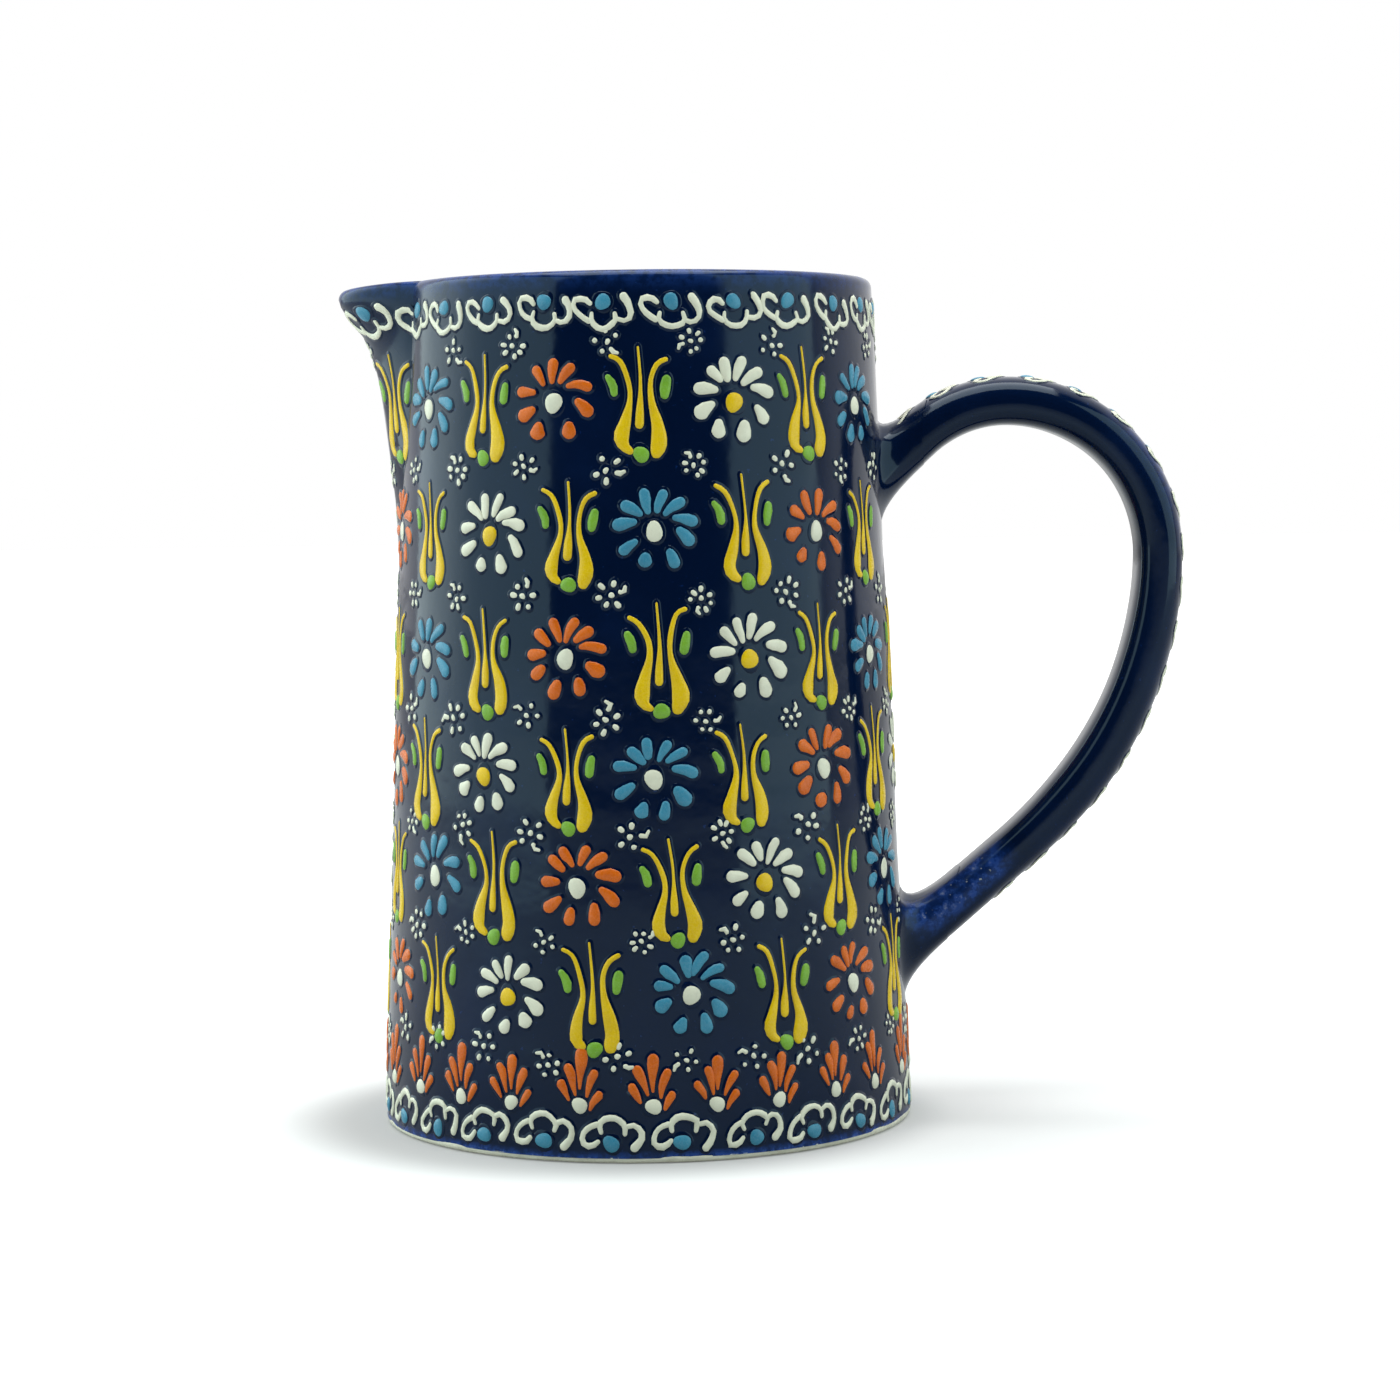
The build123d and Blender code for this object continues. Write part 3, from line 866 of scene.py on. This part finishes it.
def buildSlipTone():
    # opaque slip: a little mottled, grainy under its thin glaze
    inputs = [("Position", "NodeSocketVector", None), ("Colour", "NodeSocketColor", (1, 1, 1, 1)),
              ("Shade", "NodeSocketColor", (0, 0, 0, 1))]
    group, source, sink = newGroup("slipTone", inputs, toneOutputs)
    position = source.outputs["Position"]
    patch = noiseNode(group, position, 210, 3)
    grain = noiseNode(group, position, 1500, 3, 0.7)
    blotches = rangeNode(group, patch, 0.4, 0.75, 0, 0.45)
    mottle = mathNode(group, "ADD", blotches, rangeNode(group, grain, 0.52, 0.8, 0, 0.5))
    roughness = rangeNode(group, grain, 0.3, 0.7, 0.2, 0.34)
    gritty = mathNode(group, "MULTIPLY", grain, 0.5)
    height = mathNode(group, "ADD", gritty, mathNode(group, "MULTIPLY", patch, 0.4))
    colour = mixNode(group, mottle, source.outputs["Colour"], source.outputs["Shade"])
    linkTone(group, sink, colour, roughness, height)
    return group


glazeTone = buildGlazeTone()
slipTone = buildSlipTone()


def toneMaterial(name, group, colours, bump, distance, wear=False, ior=1.36, shine=(1, 1, 1)):
    material = bpy.data.materials.new(name)
    material.use_nodes = True
    tree = material.node_tree
    shader = tree.nodes["Principled BSDF"]
    place = addNode(tree, "ShaderNodeTexCoord")
    tone = addNode(tree, "ShaderNodeGroup", node_tree=group)
    tree.links.new(place.outputs["Object"], tone.inputs["Position"])
    for label, colour in colours.items():
        tone.inputs[label].default_value = (*colour, 1)
    if wear:
        attribute = addNode(tree, "ShaderNodeAttribute", attribute_name="wear")
        tree.links.new(attribute.outputs["Fac"], tone.inputs["Wear"])
    lump = addNode(tree, "ShaderNodeBump")
    lump.inputs["Strength"].default_value = bump
    lump.inputs["Distance"].default_value = distance
    tree.links.new(tone.outputs["Height"], lump.inputs["Height"])
    tree.links.new(lump.outputs["Normal"], shader.inputs["Normal"])
    tree.links.new(tone.outputs["Color"], shader.inputs["Base Color"])
    tree.links.new(tone.outputs["Roughness"], shader.inputs["Roughness"])
    shader.inputs["IOR"].default_value = ior
    shader.inputs["Specular Tint"].default_value = (*shine, 1)
    return material


glazeColours = {"Deep": (0.0005, 0.0052, 0.025), "Thin": (0.012, 0.05, 0.25), "Bare": (0.62, 0.66, 0.6)}
clayColours = {"Colour": (0.70, 0.68, 0.56), "Shade": (0.42, 0.40, 0.30)}
slipColours = {  # each with the darker tone it is mottled with
    "white": ((0.70, 0.70, 0.56), (0.50, 0.51, 0.40)),
    "orange": ((0.64, 0.132, 0.008), (0.42, 0.066, 0.005)),
    "yellow": ((0.73, 0.49, 0.006), (0.56, 0.34, 0.004)),
    "green": ((0.19, 0.40, 0.04), (0.10, 0.25, 0.025)),
    "blue": ((0.05, 0.24, 0.36), (0.022, 0.13, 0.22)),
}
glazeShine = (0.70, 0.90, 1.0)
cobalt = toneMaterial("cobaltGlaze", glazeTone, glazeColours, 0.12, 0.0006, True, 1.33, glazeShine)
bareClay = toneMaterial("bareClay", slipTone, clayColours, 0.6, 0.0004)
slips = {name: toneMaterial(name + "Slip", slipTone, {"Colour": a, "Shade": b}, 0.35, 0.0003)
         for name, (a, b) in slipColours.items()}

buildWall(cobalt)
buildSpout(cobalt)
buildFloor(cobalt)
buildFoot(bareClay)
buildHandle(cobalt)
buildLute("handleUpperLute", cobalt, ["handle_upper_lute"], True)
buildLute("handleLowerLute", cobalt, ["handle_lower_lute"], False)
print("clay built")
decorateWall()
decorateHandle()
print("slip drawn")

slipPieces = {
    "bluePetals": ("blue", "light_blue_slip", ["blue_petals"]),
    "orangePetals": ("orange", "orange_slip", ["orange_petals"]),
    "whitePetals": ("white", "white_slip", ["white_petals"]),
    "whiteEyes": ("white", "white_slip", ["white_eyes"]),
    "yellowEyes": ("yellow", "yellow_slip", ["yellow_eyes"]),
    "tulipStrokes": ("yellow", "yellow_slip", ["tulip_strokes"]),
    "tulipLeaves": ("green", "green_slip", ["tulip_leaves"]),
    "tulipDots": ("green", "green_slip", ["tulip_dots"]),
    "stars": ("white", "white_slip", []),
    "fans": ("orange", "orange_slip", ["fans"]),
    "fanDots": ("white", "white_slip", ["fan_dots"]),
    "footCrowns": ("white", "white_slip", ["foot_scallops"]),
    "footDots": ("blue", "light_blue_slip", ["foot_dots"]),
    "rimCrowns": ("white", "white_slip", ["rim_scallops"]),
    "rimDots": ("blue", "light_blue_slip", ["rim_dots"]),
    "handleCrowns": ("white", "white_slip", ["handle_scallops"]),
    "handleDots": ("blue", "light_blue_slip", ["handle_dots"]),
}
for name, pen in pens.items():
    if name.startswith("halo"):
        makePiece(name, pen["verts"], pen["faces"], cobalt, [])
    else:
        tint, slotName, nodes = slipPieces[name]
        makePiece(name, pen["verts"], pen["faces"], slips[tint], nodes)
print("pieces", len(pens), "faces", sum(len(pen["faces"]) for pen in pens.values()))


def aimed(place, target):
    forward = (Vector(target) - Vector(place)).normalized()
    return forward.to_track_quat("-Z", "Y").to_matrix().to_4x4()


studio = {
    "boxTint": (0.80, 1.0, 0.98),
    "paperTone": 0.66,
    "shadeTone": 0.36,             # painted contact shadow, close round the foot
    "mirroredTone": 0.40,          # what the glaze picks up from the paper
    "shadeCentre": (-0.009, -0.004, 0),
    "shadeReach": (0.057, 0.082),
    "glowReach": (0.1, 0.5),
    "glow": (0.15, 1.0),
    "mirroredGlow": 0.3,
    "lens": 86.4,
    "cameraPlace": (0, -0.7691, 0.148),
    "cameraTurns": (0.01675, 0.06878, -0.01263),  # right, down and over, in radians
}


def grey(tone):
    return tone, tone, tone, 1


def softBox(name, azimuth, distance, height, width, tall, power, colour=(1, 1, 1)):
    light = bpy.data.lights.new(name, "AREA")
    light.shape = "RECTANGLE"
    light.size, light.size_y = width, tall
    light.energy = power
    light.color = colour
    lamp = bpy.data.objects.new(name, light)
    a = math.radians(azimuth) + front
    place = (distance * math.cos(a), distance * math.sin(a), height)
    lamp.matrix_world = Matrix.Translation(place) @ aimed(place, (0, 0, 0.09))
    lamp.visible_camera = False
    bpy.context.collection.objects.link(lamp)


softBox("leftSoftBox", -86, 1.1, 0.35, 2.2, 1.8, 25, studio["boxTint"])
softBox("rightSoftBox", 66, 1.2, 0.35, 1.15, 1.8, 13, studio["boxTint"])
softBox("topSoftBox", 0, 0.05, 1.5, 1.3, 1.3, 25)

floorMesh = bpy.data.meshes.new("floorSheet")
floorMesh.from_pydata([(-6, -6, 0), (6, -6, 0), (6, 6, 0), (-6, 6, 0)], [], [(0, 1, 2, 3)])
floorSheet = bpy.data.objects.new("floorSheet", floorMesh)
bpy.context.collection.objects.link(floorSheet)
paper = bpy.data.materials.new("paper")
paper.use_nodes = True
sheetTree = paper.node_tree
sheetShader = sheetTree.nodes["Principled BSDF"]
sheetShader.inputs["Roughness"].default_value = 0.9
sheetShader.inputs["Specular IOR Level"].default_value = 0.0
sheetPlace = addNode(sheetTree, "ShaderNodeTexCoord")
reach = addNode(sheetTree, "ShaderNodeVectorMath", operation="LENGTH")
sheetTree.links.new(sheetPlace.outputs["Object"], reach.inputs[0])
glow = rangeNode(sheetTree, reach.outputs["Value"], *studio["glowReach"], *studio["glow"])
# the paper's colour is darkened in a ring round the foot: a painted contact shadow
shade = addNode(sheetTree, "ShaderNodeVectorMath", operation="DISTANCE")
sheetTree.links.new(sheetPlace.outputs["Object"], shade.inputs[0])
shade.inputs[1].default_value = studio["shadeCentre"]
unshaded = rangeNode(sheetTree, shade.outputs["Value"], *studio["shadeReach"])
sheetMix = mixNode(sheetTree, unshaded, grey(studio["shadeTone"]), grey(studio["paperTone"]))
direct = addNode(sheetTree, "ShaderNodeLightPath").outputs["Is Camera Ray"]
seen = mixNode(sheetTree, direct, grey(studio["mirroredTone"]), sheetMix)
sheetTree.links.new(seen, sheetShader.inputs["Base Color"])
dimmed = rangeNode(sheetTree, direct, 0.0, 1.0, studio["mirroredGlow"], 1.0)
sheetTree.links.new(mathNode(sheetTree, "MULTIPLY", glow, dimmed), sheetShader.inputs["Emission Strength"])
sheetShader.inputs["Emission Color"].default_value = (1, 1, 1, 1)
floorMesh.materials.append(paper)

world = bpy.data.worlds.new("studio")
bpy.context.scene.world = world
world.use_nodes = True
sky = world.node_tree
backdrop = sky.nodes["Background"]
direction = addNode(sky, "ShaderNodeTexCoord")
split = addNode(sky, "ShaderNodeSeparateXYZ")
sky.links.new(direction.outputs["Generated"], split.inputs[0])
behind = rangeNode(sky, split.outputs["Y"], -0.15, 0.3, 0.03, 1.0)
path = addNode(sky, "ShaderNodeLightPath")
strength = mathNode(sky, "MAXIMUM", behind, path.outputs["Is Camera Ray"])
sky.links.new(strength, backdrop.inputs["Strength"])
backdrop.inputs["Color"].default_value = (1, 1, 1, 1)

camera = bpy.data.cameras.new("camera")
camera.lens = studio["lens"]
camera.sensor_width = 36
cameraObject = bpy.data.objects.new("camera", camera)
yaw, pitch, roll = studio["cameraTurns"]
forward = Vector((math.sin(yaw) * math.cos(pitch), math.cos(yaw) * math.cos(pitch), -math.sin(pitch)))
right = Vector((math.cos(yaw), -math.sin(yaw), 0))
up = right.cross(forward)
rightRolled = right * math.cos(roll) + up * math.sin(roll)
upRolled = up * math.cos(roll) - right * math.sin(roll)
turned = Matrix((rightRolled, upRolled, -forward)).transposed().to_4x4()
cameraObject.matrix_world = Matrix.Translation(studio["cameraPlace"]) @ turned
bpy.context.collection.objects.link(cameraObject)
bpy.context.scene.camera = cameraObject
bpy.context.scene.view_settings.view_transform = "Standard"

print("studio set")
